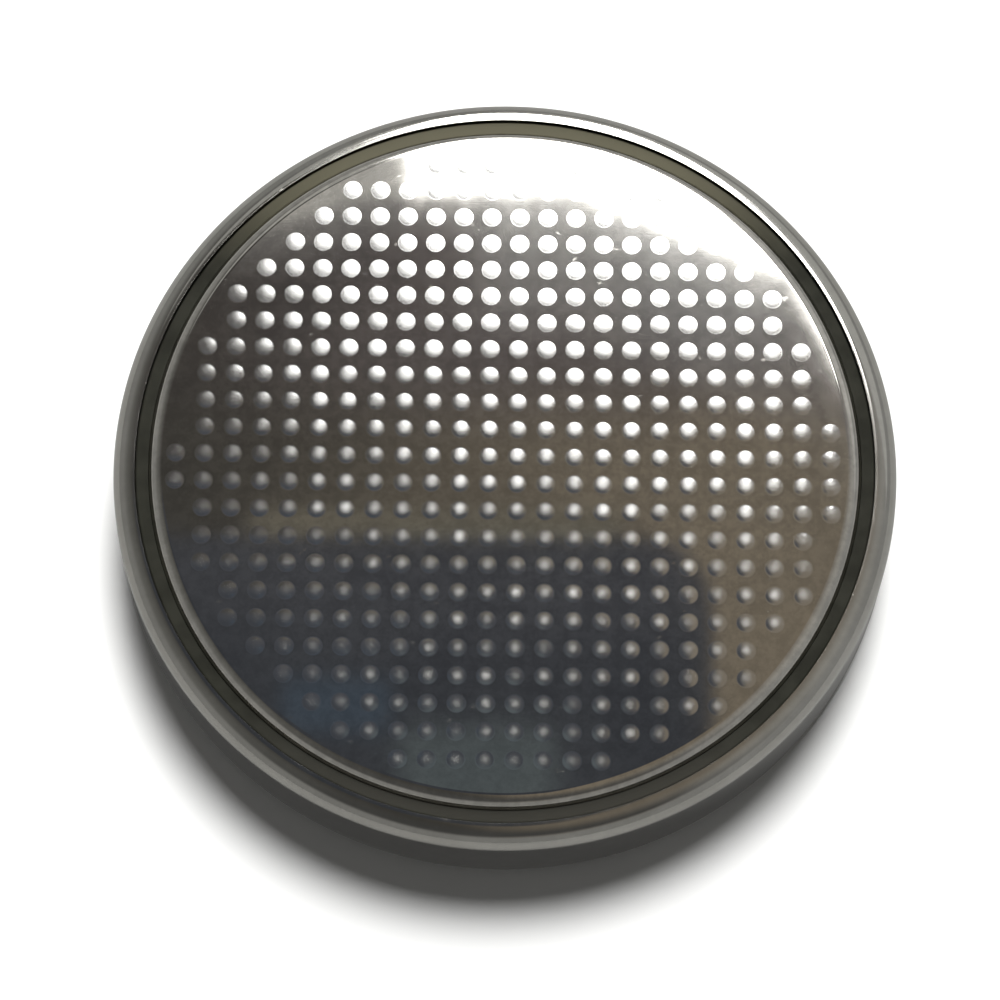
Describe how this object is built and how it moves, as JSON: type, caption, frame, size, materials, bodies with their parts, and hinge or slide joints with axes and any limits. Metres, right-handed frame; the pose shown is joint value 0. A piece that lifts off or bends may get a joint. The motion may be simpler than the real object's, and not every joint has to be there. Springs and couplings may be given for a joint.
{
  "type": "lithium coin cell",
  "caption": "Flat round lithium coin cell with a dotted negative cap set in a rolled gasket ring inside a polished steel positive can.",
  "frame": {"origin": "centre of the positive can's base, which is the middle of the cell's box at its lowest point", "axes": "+Z along the cell's axis, out of the negative cap's face; +X and +Y across the cell, along the rows and columns of the cap's dots to within about a degree"},
  "size_m": [0.02, 0.02, 0.0032],
  "materials": {
    "can_steel": "polished stainless steel",
    "ring_steel": "plain stainless steel sheet",
    "manganese_dioxide": "pressed black powder",
    "separator_felt": "matte nonwoven polypropylene",
    "lithium": "dull soft metal",
    "gasket_plastic": "dark moulded polypropylene",
    "cap_steel": "polished stainless steel with embossed dots"
  },
  "bodies": {
    "root": {"positive_can": "can_steel", "cathode_ring": "ring_steel", "cathode_pellet": "manganese_dioxide", "separator": "separator_felt", "lithium_disc": "lithium", "gasket": "gasket_plastic", "negative_cap": "cap_steel"}
  },
  "joints": []
}
